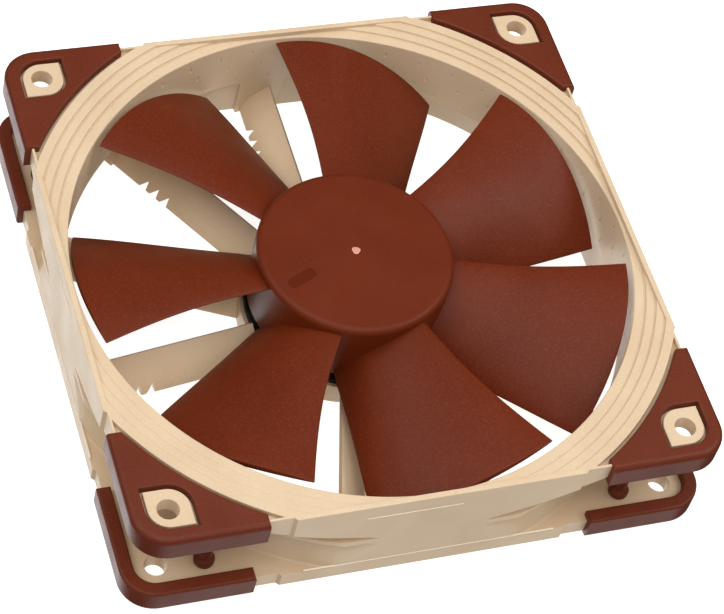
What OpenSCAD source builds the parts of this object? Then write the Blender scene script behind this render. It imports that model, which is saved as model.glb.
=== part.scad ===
// Axial case fan, 120 x 120 x 25 mm, with seven blades, eleven guide vanes and soft corner pads.
// The rotor axis is Z. Z = 0 is the outlet face of the pads and the intake face is at the top.

/* [Frame] */
// Outside width of the fan over its corner pads
fan_side = 120; // [119:0.5:121]
// Depth of the fan over the pads of both faces
fan_depth = 25; // [25:0.5:26]
// Distance between neighbouring screw holes
hole_spacing = 105; // [104.5:0.1:105.5]
// Diameter of the screw holes
hole_d = 4.3; // [4.0:0.1:4.6]
// Radius of the air duct
duct_r = 57.5; // [57.2:0.1:57.8]
// Number of guide vanes behind the impeller
vane_count = 11; // [7:1:13]
// Thickness of a guide vane
vane_t = 1.3; // [1.1:0.1:1.6]

/* [Impeller] */
// Number of blades
blade_count = 7; // [5:1:8]
// Radius of the hub
hub_r = 20.2; // [20.2:0.1:20.5]
// Radius at the blade tips
tip_r = 56.3; // [55:0.1:56.5]
// Greatest thickness of a blade
blade_t = 1.8; // [1.4:0.1:2.1]

/* [Corner pads] */
// Length of a pad along the side of the fan
pad_leg = 25.4; // [24:0.2:26]
// Height of the skirt that wraps the flange
pad_skirt = 6; // [5.8:0.1:6.2]
// Radius of the pad's outer corner
pad_corner_r = 7; // [6:0.5:8]

/* [Motor] */
// Diameter of the shaft
shaft_d = 3; // [2.8:0.1:3]

/* [Hidden] */

$fn = 96;
eps = 0.01;
fit_gap = 0.05;

cream = [0.90, 0.80, 0.66];
red_brown = [0.45, 0.19, 0.13];
pad_brown = [0.42, 0.17, 0.12];
steel = [0.72, 0.73, 0.75];
brass = [0.80, 0.62, 0.30];
bronze = [0.62, 0.45, 0.25];
copper = [0.78, 0.42, 0.22];
black = [0.07, 0.07, 0.08];
ivory = [0.88, 0.86, 0.80];
solder = [0.80, 0.80, 0.82];
ceramic = [0.75, 0.66, 0.50];
ferrite = [0.16, 0.15, 0.15];
label_grey = [0.82, 0.80, 0.76];

// Frame: planes and radii
pad_face_t = 0.6;
frame_bottom = pad_face_t;
frame_top = fan_depth - pad_face_t;
flange_t = 3.6;
pad_recess = 1.2;
side_mid = fan_side / 2 - 0.75;
side_corner = fan_side / 2 - 1.4;
side_mid_half = 29.2;
side_wall_t = 1.2;
side_corner_r = 6;
ring_steps = 4;
ring_step_w = 2.05;
ring_step_h = 0.4;
ring_first_r = duct_r + 2.4;
ring_r = ring_first_r + (ring_steps - 1) * ring_step_w;
duct_wall_r = duct_r + 2.7;
flare_in_z = 13;
flare_in_r = ring_r + 2.4;
flare_out_r = duct_r + 4.6;
flare_out_z = 10.3;
rib_z = 11.4;
rib_t = 1.0;
rib_r = duct_wall_r + 1.6;
recess_wall = side_mid - side_wall_t;

// Screw holes, their pedestals and the peg holes
hole_xy = hole_spacing / 2;
pedestal_xy = hole_xy - 0.25;
pedestal_half = 4.15;
window_half = 4.75;
peg_near = 43.2;
peg_far = 53.2;
peg_hole_r = 1.5;
peg_relief_r = 2.4;
peg_bulge_r = 2.05;
peg_tail_r = 1.3;
peg_bulge_h = 1.4;
peg_taper_h = 0.8;
peg_tail_h = 5.4;
pad_lip = 2.9;

// Guide vanes and motor base
vane_top = 7.3;
vane_bottom = 1.1;
vane_shift = 5.6;
vane_first = 89.4;
vane_curve = 1.5;
vane_points = 5;
notch_count = 3;
notch_first_r = 43.2;
notch_pitch = 2.95;
notch_w = 2.1;
notch_tip = 0.3;
notch_h = 2.1;
vane_root_r = 58.9;
vane_root_extra = 1;
base_r = 21.2;
base_inner_r = 20.3;
base_top = 6;
base_floor_z = 1.9;
board_z = 5.2;
board_t = 1.6;
board_ledge_r = 19.3;
socket_r = 5.4;
socket_top = 8.6;
label_r = 16.5;
label_depth = 0.25;
cable_block_from = 87.9;
cable_block_turn = 8.7;
cable_angle = 91.5;
cable_slot = 3.6;
cable_slot_h = 3;
cable_slot_from = 12;
cable_cup_angle = 95;

// Impeller
hub_top = fan_depth - 1.1;
hub_bottom = 9;
hub_edge_r = 1.4;
hub_top_t = 1.6;
hub_inner_r = hub_r - 0.95;
blade_phase = 90.9;
blade_stations = 10;
blade_points = 12;
blade_root_r = hub_r - 0.5;
// Blade laws over the span: degrees behind the tip's leading corner, then heights and camber in mm
lead_sweep = [-4.0, 4.8];
trail_sweep = [-36.9, -5.4, -7.1];
lead_height = [21.6, 1.6];
trail_height = [9.6, 0.3, 1.6];
camber_height = [2.4, 1.2];
sweep_power = 4;
// Blade section as shares of its greatest thickness, and how full it is towards its edges
root_share = 1.1;
thinning = 0.15;
edge_share = 0.16;
fullness = 0.6;

// Motor
shaft_r = shaft_d / 2;
pole_count = 4;
shaft_bottom = 3.3;
tube_bottom = 1.2;
tube_top = 19.6;
tube_r = 4.2;
tube_inner_r = 3;
press_gap = 0.02;
cap_top = 2.6;
bearing_bottom = 5;
bearing_top = 18.2;
seal_bottom = 18.4;
seal_top = 19.2;
running_gap = 0.04;
yoke_r = hub_inner_r - fit_gap;
yoke_wall = 0.9;
yoke_bottom = 8;
yoke_top = hub_top - hub_top_t;
boss_r = 3.4;
boss_gap = 0.4;
magnet_r = yoke_r - yoke_wall - fit_gap;
magnet_t = 1.8;
magnet_bottom = 8.4;
magnet_top = 19.5;
core_bottom = 10;
core_top = 17;
core_r = magnet_r - magnet_t - 0.5;
core_hub_r = 7;
pole_w = 4.4;
pole_shoe_t = 1.9;
pole_shoe_angle = 76;
insulator_t = 0.6;
insulator_edge = 0.3;
pin_tab = [3.4, 2.2];
coil_from = 7.5;
coil_to = 13.2;
coil_window = [5.2, core_top - core_bottom + 2 * insulator_t + 0.2];
coil_wall = 1.5;
coil_corner_r = 1.2;
pin_angle = 45;
pin_pos_r = 8.3;
pin_r = 0.35;
chip_size = [4, 5, 1.4];
chip_x = 9.5;
hall_size = [3, 3, 0.9];
capacitor_size = [3.2, 2.6, 1.6];
capacitor_x = -15;
resistor_size = [2, 1.3, 0.6];
resistor_count = 4;
resistor_x = 12;
resistor_first = -120;
resistor_turn = 20;
pad_count = 4;
pad_r = 1.1;
pad_h = 0.4;
pad_x = 16.4;
pad_turn = 12;
clip_r = 2.4;
clip_t = 0.4;
clip_z = 3.95;
groove_z = 3.9;
groove_h = 0.5;
groove_depth = 0.3;

// A square of half width h whose corners are rounded to radius r
module rounded_square(h, r) {
    square([2 * h, 2 * (h - r)], center = true);
    square([2 * (h - r), 2 * h], center = true);
    for (x = [-1, 1], y = [-1, 1]) translate([x * (h - r), y * (h - r)]) circle(r = r);
}

// A square with only its two corners on the diagonal rounded
module leaf(h, r) {
    intersection() {
        square(2 * h, center = true);
        union() {
            circle(r = r);
            translate([-h, 0]) square(h);
            translate([0, -h]) square(h);
        }
    }
}

// Plan of the frame: a rounded square with a slightly prouder middle on each side
module frame_plan() {
    rounded_square(side_corner, side_corner_r);
    square([2 * side_mid_half, 2 * side_mid], center = true);
    square([2 * side_mid, 2 * side_mid_half], center = true);
}

// Radial section of the duct and flanges. Stepped inlet and flared outlet when open is true.
function ring_section(open) = concat(
    open
        ? [
            [flare_out_r, frame_bottom], [duct_r, flare_out_z],
            for (k = [0:ring_steps - 1], side = [0, 1]) [
                k == 0 && side == 0 ? duct_r : ring_first_r + (k - 1 + side) * ring_step_w,
                frame_top - (ring_steps - 1 - k) * ring_step_h
            ]
        ]
        : [[duct_r, frame_bottom], [duct_r, frame_top], [ring_r, frame_top]],
    [
        [ring_r, frame_top - pad_recess],
        [fan_side, frame_top - pad_recess], [fan_side, frame_top - flange_t],
        [flare_in_r, frame_top - flange_t], [duct_wall_r, flare_in_z],
        [duct_wall_r, flare_out_z], [duct_wall_r + 2, frame_bottom + flange_t],
        [fan_side, frame_bottom + flange_t], [fan_side, frame_bottom + pad_recess],
        [ring_r, frame_bottom + pad_recess], [ring_r, frame_bottom]
    ]
);

// Thin straight walls along the four sides, as high as the duct's outer section
module side_walls() {
    wall_half = fan_side / 2 - pad_leg;
    intersection() {
        union() {
            rotate_extrude() polygon(ring_section(false));
            for (z = [frame_bottom, frame_top - flange_t])
                translate([0, 0, z]) linear_extrude(flange_t) square(2 * fan_side, center = true);
        }
        for (a = [0:90:270]) rotate(a)
            translate([recess_wall, -wall_half, 0])
                cube([side_mid - recess_wall, 2 * wall_half, fan_depth]);
    }
}

module duct_and_flanges() {
    intersection() {
        union() {
            rotate_extrude() polygon(ring_section(true));
            side_walls();
            translate([0, 0, rib_z]) difference() {
                cylinder(r = rib_r, h = rib_t);
                translate([0, 0, -eps]) cylinder(r = duct_r + 1, h = rib_t + 2 * eps);
            }
        }
        linear_extrude(fan_depth) frame_plan();
    }
}

// Raised pads of the frame round the screw holes, on both faces
module pedestals() {
    for (a = [0:90:270]) rotate(a) translate([pedestal_xy, pedestal_xy]) {
        translate([0, 0, frame_bottom]) linear_extrude(flange_t) leaf(pedestal_half, pedestal_half);
        translate([0, 0, frame_top - flange_t]) linear_extrude(flange_t) leaf(pedestal_half, pedestal_half);
    }
}

function peg_places() = [[peg_near, peg_far], [peg_far, peg_near]];

module flange_holes() {
    for (a = [0:90:270]) rotate(a) {
        translate([hole_xy, hole_xy, -1]) cylinder(d = hole_d, h = fan_depth + 2);
        for (p = peg_places()) translate([p[0], p[1], 0]) {
            translate([0, 0, -1]) cylinder(r = peg_hole_r, h = fan_depth + 2);
            translate([0, 0, fan_depth / 2])
                cylinder(r = peg_relief_r, h = frame_top - flange_t - fan_depth / 2);
        }
    }
}

// Across its thickness a vane turns the swirl towards the axis: steep at the outlet, leaning at the top
function vane_x(s) = vane_shift * (1 - pow(1 - s, vane_curve));
function vane_z(s) = vane_top + (vane_bottom - vane_top) * s;
function vane_side(sign) = [
    for (k = [0:vane_points]) let (s = k / vane_points) [vane_x(s) + sign * vane_t / 2, vane_z(s)]
];
function reversed(list) = [for (k = [len(list) - 1:-1:0]) list[k]];

module vane_plate(start) {
    translate([start, 0, 0]) rotate([90, 0, 90]) linear_extrude(flare_out_r + 2 - start)
        polygon(concat(vane_side(-1), reversed(vane_side(1))));
}

// Thicker foot that joins a vane to the flared outlet
module vane_root() {
    for (side = [-1, 1]) translate([0, side * vane_root_extra / 2, 0]) vane_plate(vane_root_r);
}

// Saw teeth along the outlet edge of a vane
module vane_notches() {
    for (k = [0:notch_count - 1])
        translate([notch_first_r + k * notch_pitch, vane_shift + 2, vane_bottom]) rotate([90, 0, 0])
            linear_extrude(vane_shift)
                polygon([[-notch_tip, -1], [notch_w + notch_tip, -1], [notch_tip, notch_h]]);
}

module guide_vanes() {
    intersection() {
        for (k = [0:vane_count - 1]) rotate(vane_first + k * 360 / vane_count) {
            difference() {
                vane_plate(base_inner_r - 0.8);
                vane_notches();
            }
            vane_root();
        }
        rotate_extrude() polygon([
            [base_inner_r, 0], [flare_out_r + 0.8, 0], [flare_out_r + 0.8, frame_bottom],
            [duct_r + 0.8, flare_out_z], [base_inner_r, flare_out_z]
        ]);
        cube([2 * side_corner, 2 * side_corner, 2 * flare_out_z], center = true);
    }
}

// Part of the flared outlet filled flush with the duct wall, where the cable leaves the frame
module cable_outlet() {
    intersection() {
        rotate(cable_block_from) rotate_extrude(angle = cable_block_turn) polygon([
            [duct_r, frame_bottom], [flare_out_r, frame_bottom], [duct_r + 1, flare_out_z],
            [duct_r, flare_out_z]
        ]);
        cube([2 * recess_wall + 1, 2 * recess_wall + 1, 4 * fan_depth], center = true);
    }
}

module cable_slot_cut() {
    rotate(cable_angle) translate([duct_r - cable_slot_from, -cable_slot / 2, -eps])
        cube([2 * cable_slot_from, cable_slot, frame_bottom + cable_slot_h]);
    rotate(cable_cup_angle) translate([board_ledge_r - 2, -cable_slot / 2, base_floor_z])
        cube([4, cable_slot, board_z - base_floor_z - 0.6]);
}

module motor_base() {
    rotate_extrude() polygon([
        [tube_r, frame_bottom + label_depth], [label_r, frame_bottom + label_depth],
        [label_r, frame_bottom], [base_r, frame_bottom], [base_r, base_top],
        [base_inner_r, base_top], [base_inner_r, board_z], [board_ledge_r, board_z],
        [board_ledge_r, base_floor_z], [socket_r, base_floor_z], [socket_r, socket_top],
        [tube_r, socket_top]
    ]);
}

module frame() {
    color(cream) difference() {
        union() {
            duct_and_flanges();
            pedestals();
            guide_vanes();
            cable_outlet();
            motor_base();
        }
        flange_holes();
        cable_slot_cut();
    }
}

// Plan of a pad in the +X +Y corner: square leg ends, round outer corner, hollow inner edge
module pad_plan(inner) {
    difference() {
        intersection() {
            rounded_square(fan_side / 2, pad_corner_r);
            translate([fan_side / 2 - pad_leg, fan_side / 2 - pad_leg]) square(pad_leg);
        }
        circle(r = inner);
    }
}

module pad_band(depth) {
    difference() {
        pad_plan(ring_r);
        rounded_square(fan_side / 2 - depth, max(pad_corner_r - depth, 2));
    }
}

module pad_peg() {
    neck_z = frame_bottom + pad_recess - 0.1;
    bulge_z = frame_bottom + flange_t + fit_gap;
    translate([0, 0, neck_z]) cylinder(r = peg_hole_r - fit_gap, h = bulge_z - neck_z + eps);
    translate([0, 0, bulge_z]) cylinder(r = peg_bulge_r, h = peg_bulge_h);
    translate([0, 0, bulge_z + peg_bulge_h]) cylinder(r1 = peg_bulge_r, r2 = peg_tail_r, h = peg_taper_h);
    translate([0, 0, bulge_z + peg_bulge_h]) cylinder(r = peg_tail_r, h = peg_tail_h - peg_bulge_h);
}

// A pad of the outlet face in the +X +Y corner
module pad() {
    band_in = fan_side / 2 - side_corner;
    lip_z = frame_bottom + flange_t + fit_gap;
    color(pad_brown) {
        linear_extrude(frame_bottom + pad_recess - fit_gap) difference() {
            pad_plan(ring_r + 0.7);
            translate([pedestal_xy, pedestal_xy]) leaf(window_half, window_half);
        }
        linear_extrude(pad_skirt) pad_band(band_in - fit_gap);
        translate([0, 0, lip_z]) linear_extrude(pad_skirt - lip_z) pad_band(pad_lip);
        for (p = peg_places()) translate([p[0], p[1], 0]) pad_peg();
    }
}

// Clearance for the inlet flare under an intake pad
module flare_clearance() {
    rotate_extrude() polygon([
        [0, flare_in_z], [duct_wall_r + 0.1, flare_in_z],
        [flare_in_r + 0.1, frame_top - flange_t], [0, frame_top - flange_t]
    ]);
}

// The corners, counted from the front left one, each turn the pad by a quarter
module outlet_pad(corner) {
    rotate(180 + 90 * corner) pad();
}

module intake_pad(corner) {
    difference() {
        translate([0, 0, fan_depth]) mirror([0, 0, 1]) rotate(180 + 90 * corner) pad();
        color(pad_brown) flare_clearance();
    }
}

// A ring or tube on the axis
module tube(r, inner, z, top) {
    translate([0, 0, z]) difference() {
        cylinder(r = r, h = top - z);
        translate([0, 0, -1]) cylinder(r = inner, h = top - z + 2);
    }
}

module bearing_tube() {
    color(brass) tube(tube_r - fit_gap, tube_inner_r, tube_bottom, tube_top);
}

module sleeve_bearing() {
    color(bronze) tube(tube_inner_r - press_gap, shaft_r + running_gap, bearing_bottom, bearing_top);
}

module oil_seal() {
    color(black) tube(tube_inner_r - press_gap, shaft_r + 2 * running_gap, seal_bottom, seal_top);
}

module thrust_plate() {
    color(ivory) translate([0, 0, cap_top])
        cylinder(r = tube_inner_r - 2 * fit_gap, h = shaft_bottom - 2 * fit_gap - cap_top);
}

module rear_cap() {
    color(brass) translate([0, 0, tube_bottom])
        cylinder(r = tube_inner_r - press_gap, h = cap_top - tube_bottom);
}

// Plan of the laminations: a hub, straight teeth and curved pole shoes
module core_plan() {
    circle(r = core_hub_r);
    for (k = [0:pole_count - 1]) rotate(k * 360 / pole_count) {
        translate([core_hub_r - 1, -pole_w / 2]) square([core_r - core_hub_r, pole_w]);
        intersection() {
            difference() {
                circle(r = core_r);
                circle(r = core_r - pole_shoe_t);
            }
            reach = 2 * core_r;
            half = pole_shoe_angle / 2;
            polygon([
                [0, 0], [reach * cos(half), -reach * sin(half)], [reach * cos(half), reach * sin(half)]
            ]);
        }
    }
}

module stator_core() {
    color(steel) translate([0, 0, core_bottom]) linear_extrude(core_top - core_bottom) difference() {
        core_plan();
        circle(r = tube_r);
    }
}

module insulator_plan() {
    difference() {
        union() {
            circle(r = core_hub_r + insulator_edge);
            for (k = [0:pole_count - 1]) rotate(k * 360 / pole_count)
                translate([0, -pole_w / 2 - insulator_edge])
                    square([core_r - pole_shoe_t + 0.8, pole_w + 2 * insulator_edge]);
        }
        circle(r = tube_r);
    }
}

module upper_insulator() {
    color(ivory) translate([0, 0, core_top]) linear_extrude(insulator_t) insulator_plan();
}

module lower_insulator() {
    color(ivory) translate([0, 0, core_bottom - insulator_t]) linear_extrude(insulator_t) {
        insulator_plan();
        for (k = [0:pole_count - 1]) rotate(pin_angle + k * 360 / pole_count)
            translate([core_hub_r - 1, -pin_tab[1] / 2]) square(pin_tab);
    }
}

// One winding round its tooth, wound square with rounded outer corners
module coil(k) {
    outer = [coil_window[0] + 2 * coil_wall, coil_window[1] + 2 * coil_wall];
    color(copper) rotate(k * 360 / pole_count)
        translate([coil_from, 0, (core_bottom + core_top) / 2]) rotate([90, 0, 90])
            linear_extrude(coil_to - coil_from) difference() {
                union() {
                    square([outer[0] - 2 * coil_corner_r, outer[1]], center = true);
                    square([outer[0], outer[1] - 2 * coil_corner_r], center = true);
                    for (x = [-1, 1], y = [-1, 1])
                        translate([x * (outer[0] / 2 - coil_corner_r), y * (outer[1] / 2 - coil_corner_r)])
                            circle(r = coil_corner_r);
                }
                square(coil_window, center = true);
            }
}

module winding_pins() {
    color(solder) for (k = [0:pole_count - 1]) rotate(pin_angle + k * 360 / pole_count)
        translate([pin_pos_r, 0, board_z - 0.8])
            cylinder(r = pin_r, h = core_bottom - insulator_t - board_z + 0.8);
}

module circuit_board() {
    color(black) difference() {
        tube(base_inner_r - 0.1, socket_r + 0.2, board_z, board_z + board_t);
        for (k = [0:pole_count - 1]) rotate(pin_angle + k * 360 / pole_count)
            translate([pin_pos_r, 0, 0]) cylinder(r = pin_r + 0.05, h = fan_depth);
    }
}

// The larger parts hang under the board, in the space over the base floor
module driver_chip() {
    color(black) translate([chip_x, -chip_size[1] / 2, board_z - chip_size[2]]) cube(chip_size);
}

module hall_sensor() {
    color(black) translate([magnet_r - hall_size[0] - magnet_t / 4, -hall_size[1] / 2, board_z + board_t])
        cube(hall_size);
}

module capacitor() {
    color(ceramic) translate([capacitor_x, -capacitor_size[1] / 2, board_z - capacitor_size[2]])
        cube(capacitor_size);
}

module resistors() {
    color(black) for (k = [0:resistor_count - 1]) rotate(resistor_first + resistor_turn * k)
        translate([resistor_x, -resistor_size[1] / 2, board_z - resistor_size[2]]) cube(resistor_size);
}

module solder_pads() {
    first = cable_cup_angle - pad_turn * (pad_count - 1) / 2;
    color(solder) for (k = [0:pad_count - 1]) rotate(first + pad_turn * k)
        translate([pad_x, 0, board_z - pad_h]) cylinder(r = pad_r, h = pad_h);
}

module rear_label() {
    color(label_grey) translate([0, 0, frame_bottom + 0.05])
        cylinder(r = label_r - 0.3, h = label_depth - 0.05);
}

// Hub section: a cap with a rounded rim, open below
module hub() {
    arc_steps = 6;
    rotate_extrude() polygon(concat(
        [[0, yoke_top], [0, hub_top]],
        [
            for (k = [0:arc_steps]) let (a = 90 - 90 * k / arc_steps) [
                hub_r - hub_edge_r + hub_edge_r * cos(a),
                hub_top - hub_edge_r + hub_edge_r * sin(a)
            ]
        ],
        [[hub_r, hub_bottom], [hub_inner_r, hub_bottom], [hub_inner_r, yoke_top]]
    ));
}

// Blade edges over the span s, from 0 at the hub to 1 at the tip: angle behind the tip's leading corner
function lead_angle(s) = lead_sweep[0] * (1 - s) + lead_sweep[1] * pow(1 - s, sweep_power);
function trail_angle(s) =
    trail_sweep[0] + trail_sweep[1] * (1 - s) + trail_sweep[2] * pow(1 - s, sweep_power);
function lead_z(s) = lead_height[0] + lead_height[1] * s;
function trail_z(s) = trail_height[0] + trail_height[1] * s + trail_height[2] * s * (1 - s);
function camber(s) = camber_height[0] + camber_height[1] * s;
function span_r(s) = blade_root_r + (tip_r - blade_root_r) * s;
// Half thickness along the chord c, from 0 at the trailing edge to 1 at the leading edge
function half_t(s, c) =
    blade_t / 2 * (root_share - thinning * s)
    * (edge_share + (1 - edge_share) * pow(4 * c * (1 - c), fullness));
function chord_angle(s, c) = trail_angle(s) + (lead_angle(s) - trail_angle(s)) * c;
function chord_z(s, c) = trail_z(s) + (lead_z(s) - trail_z(s)) * c + 4 * camber(s) * c * (1 - c);
// Slope of the section at c, as a height over a length of arc
function chord_slope(s, c) =
    (lead_z(s) - trail_z(s) + 4 * camber(s) * (1 - 2 * c))
    / (span_r(s) * PI / 180 * (lead_angle(s) - trail_angle(s)));
function blade_point(s, c, sign) =
    let (
        lean = atan(chord_slope(s, c)),
        a = chord_angle(s, c) - sign * half_t(s, c) * sin(lean) / span_r(s) * 180 / PI,
        z = chord_z(s, c) + sign * half_t(s, c) * cos(lean)
    )
    [span_r(s) * cos(a), span_r(s) * sin(a), z];

// One blade as a closed mesh of rings, each going up one face and back down the other
module blade() {
    ring = 2 * (blade_points + 1);
    points = [
        for (i = [0:blade_stations], sign = [1, -1], j = [0:blade_points])
            let (c = sign > 0 ? j / blade_points : 1 - j / blade_points)
            blade_point(i / blade_stations, c, sign)
    ];
    sides = [
        for (i = [0:blade_stations - 1], j = [0:ring - 1], half = [0, 1])
            let (a = i * ring + j, b = i * ring + (j + 1) % ring)
            half == 0 ? [a, b, b + ring] : [a, b + ring, a + ring]
    ];
    caps = [
        for (end = [0, blade_stations], j = [0:blade_points - 1], half = [0, 1])
            let (
                up = end * ring + j,
                low = end * ring + ring - 1 - j,
                quad = end == 0 ? [up, low, low - 1, up + 1] : [up, up + 1, low - 1, low]
            )
            half == 0 ? [quad[0], quad[1], quad[2]] : [quad[0], quad[2], quad[3]]
    ];
    polyhedron(points, concat(sides, caps), convexity = 4);
}

module impeller() {
    color(red_brown) {
        hub();
        for (k = [0:blade_count - 1]) rotate(blade_phase + k * 360 / blade_count) blade();
    }
}

module rotor_yoke() {
    color(steel) {
        tube(yoke_r, yoke_r - yoke_wall, yoke_bottom, yoke_top);
        tube(yoke_r - eps, boss_r, yoke_top - yoke_wall, yoke_top);
    }
}

module ring_magnet() {
    color(ferrite) tube(magnet_r, magnet_r - magnet_t, magnet_bottom, magnet_top);
}

module rotor_boss() {
    color(brass) tube(boss_r, shaft_r, tube_top + boss_gap, yoke_top);
}

module shaft() {
    color(steel) difference() {
        translate([0, 0, shaft_bottom]) cylinder(r = shaft_r, h = yoke_top - shaft_bottom);
        tube(2 * shaft_r, shaft_r - groove_depth, groove_z, groove_z + groove_h);
    }
}

module retaining_clip() {
    color(steel) difference() {
        tube(clip_r, shaft_r - groove_depth + press_gap, clip_z, clip_z + clip_t);
        translate([0, -clip_t * 1.5, 0]) cube([2 * clip_r, 3 * clip_t, fan_depth]);
    }
}

frame();
intake_pad(0);  // intake_pad_front_left
intake_pad(1);  // intake_pad_front_right
intake_pad(2);  // intake_pad_rear_right
intake_pad(3);  // intake_pad_rear_left
outlet_pad(0);  // outlet_pad_front_left
outlet_pad(1);  // outlet_pad_front_right
outlet_pad(2);  // outlet_pad_rear_right
outlet_pad(3);  // outlet_pad_rear_left
bearing_tube();
sleeve_bearing();
oil_seal();
thrust_plate();
rear_cap();
stator_core();
upper_insulator();
lower_insulator();
coil(0);  // coil_1
coil(1);  // coil_2
coil(2);  // coil_3
coil(3);  // coil_4
winding_pins();
circuit_board();
driver_chip();
hall_sensor();
capacitor();
resistors();
solder_pads();
rear_label();
impeller();
rotor_yoke();
ring_magnet();
rotor_boss();
shaft();
retaining_clip();
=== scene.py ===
from math import atan, atan2, cos, hypot, pi, radians, sin, tan

import bmesh
import bpy
from mathutils import Matrix, Vector


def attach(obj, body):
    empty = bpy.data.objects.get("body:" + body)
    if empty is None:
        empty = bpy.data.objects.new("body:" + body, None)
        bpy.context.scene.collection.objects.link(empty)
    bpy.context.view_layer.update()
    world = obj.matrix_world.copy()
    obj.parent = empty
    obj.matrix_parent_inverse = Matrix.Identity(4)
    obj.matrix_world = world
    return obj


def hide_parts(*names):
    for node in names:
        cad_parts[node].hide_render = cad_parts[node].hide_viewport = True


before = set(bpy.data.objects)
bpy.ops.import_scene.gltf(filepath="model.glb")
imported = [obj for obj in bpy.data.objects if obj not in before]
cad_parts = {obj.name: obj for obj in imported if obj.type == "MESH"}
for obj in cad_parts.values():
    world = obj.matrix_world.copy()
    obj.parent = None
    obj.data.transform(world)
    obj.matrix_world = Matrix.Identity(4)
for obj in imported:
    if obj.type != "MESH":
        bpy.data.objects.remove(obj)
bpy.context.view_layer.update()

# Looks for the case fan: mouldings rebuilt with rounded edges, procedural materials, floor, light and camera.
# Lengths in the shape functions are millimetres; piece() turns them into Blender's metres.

MM = 0.001
ROUND_STEPS = 4
TURN_STEPS = 360

# Driving sizes, the same as the CAD model's
SIDE = 120.0                    # outside width, over the pads
DEPTH = 25.0                    # and over them in Z
HOLE_XY = 52.5                  # screw holes, from the middle
HOLE_R = 2.15
DUCT_R = 57.5
FRAME_LOW = 0.6                 # the pads stand this far out of the frame's faces
FRAME_TOP = DEPTH - FRAME_LOW
FLANGE_T = 3.6
RECESS = 1.2                    # the flanges lie this far under the ring's face, beneath a pad
SIDE_MID = 59.25                # half width over the prouder middle of the sides
SIDE_CORNER = 58.6              # and over their ends
CORNER_R = 6.0
SIDE_MID_HALF = 29.2            # half length of the prouder middle
WALL_IN = SIDE_MID - 1.2
WALL_HALF = 34.6
RING_R = 66.05                  # outside of the stepped inlet ring
LEAF_XY = HOLE_XY - 0.25        # the raised leaf round a screw hole
LEAF_HALF = 4.15
PEGS = ((43.2, 53.2), (53.2, 43.2))
HUB_R = 20.2
HUB_TOP = 23.9
TIP_R = 56.3


# ---------------------------------------------------------------- mesh tools

def piece(name, verts, faces):
    """A closed mesh object from points in millimetres."""
    mesh = bpy.data.meshes.new(name)
    mesh.from_pydata([[c * MM for c in v] for v in verts], [], faces)
    bm = bmesh.new()
    bm.from_mesh(mesh)
    bmesh.ops.remove_doubles(bm, verts=bm.verts, dist=1e-7)
    bmesh.ops.dissolve_degenerate(bm, edges=bm.edges, dist=1e-7)
    bmesh.ops.recalc_face_normals(bm, faces=bm.faces)
    bm.to_mesh(mesh)
    bm.free()
    obj = bpy.data.objects.new(name, mesh)
    bpy.context.scene.collection.objects.link(obj)
    return obj


def loft(name, rings):
    """A solid through closed rings of equally many points, with a flat cap at each end."""
    count = len(rings[0])
    verts = [p for ring in rings for p in ring]
    faces = [list(range(count))[::-1], [count * (len(rings) - 1) + k for k in range(count)]]
    for i in range(len(rings) - 1):
        for k in range(count):
            a, b = i * count + k, i * count + (k + 1) % count
            faces.append([a, b, b + count, a + count])
    return piece(name, verts, faces)


def revolve(name, profile, steps=TURN_STEPS):
    """A solid of revolution round Z from a closed (radius, height) profile."""
    count = len(profile)
    verts = []
    for i in range(steps):
        a = 2 * pi * i / steps
        verts += [(r * cos(a), r * sin(a), z) for r, z in profile]
    faces = []
    for i in range(steps):
        for k in range(count):
            a, b = i * count + k, i * count + (k + 1) % count
            c, d = (a + count) % len(verts), (b + count) % len(verts)
            faces.append([a, c, d, b])
    return piece(name, verts, faces)


def prism(name, outline, low, high):
    """An outline in XY, raised from low to high."""
    return loft(name, [[(x, y, z) for x, y in outline] for z in (low, high)])


def box_solid(name, low, high):
    (x0, y0, z0), (x1, y1, z1) = low, high
    return prism(name, [(x0, y0), (x1, y0), (x1, y1), (x0, y1)], z0, z1)


def arc(cx, cy, r, start, end, steps=12):
    """Points on a circle from one angle to another, in degrees, both ends included."""
    turn = [radians(start + (end - start) * k / steps) for k in range(steps + 1)]
    return [(cx + r * cos(a), cy + r * sin(a)) for a in turn]


def fillet(points, steps=ROUND_STEPS):
    """Rounds the corners of a closed outline. Each point is (x, y, radius)."""
    out = []
    for k, (x, y, r) in enumerate(points):
        before, after = points[k - 1], points[(k + 1) % len(points)]
        ax, ay, bx, by = before[0] - x, before[1] - y, after[0] - x, after[1] - y
        la, lb = hypot(ax, ay), hypot(bx, by)
        if r <= 0 or la == 0 or lb == 0:
            out.append((x, y))
            continue
        ax, ay, bx, by = ax / la, ay / la, bx / lb, by / lb
        half = atan2(abs(ax * by - ay * bx), ax * bx + ay * by) / 2
        reach = min(r / tan(half), 0.45 * la, 0.45 * lb)
        r = reach * tan(half)
        mx, my = ax + bx, ay + by
        lm = hypot(mx, my)
        far = r / sin(half)
        cx, cy = x + mx / lm * far, y + my / lm * far
        a0 = atan2(y + ay * reach - cy, x + ax * reach - cx)
        a1 = atan2(y + by * reach - cy, x + bx * reach - cx)
        turn = (a1 - a0 + pi) % (2 * pi) - pi
        out += [(cx + r * cos(a0 + turn * j / steps), cy + r * sin(a0 + turn * j / steps))
                for j in range(steps + 1)]
    return out


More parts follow.
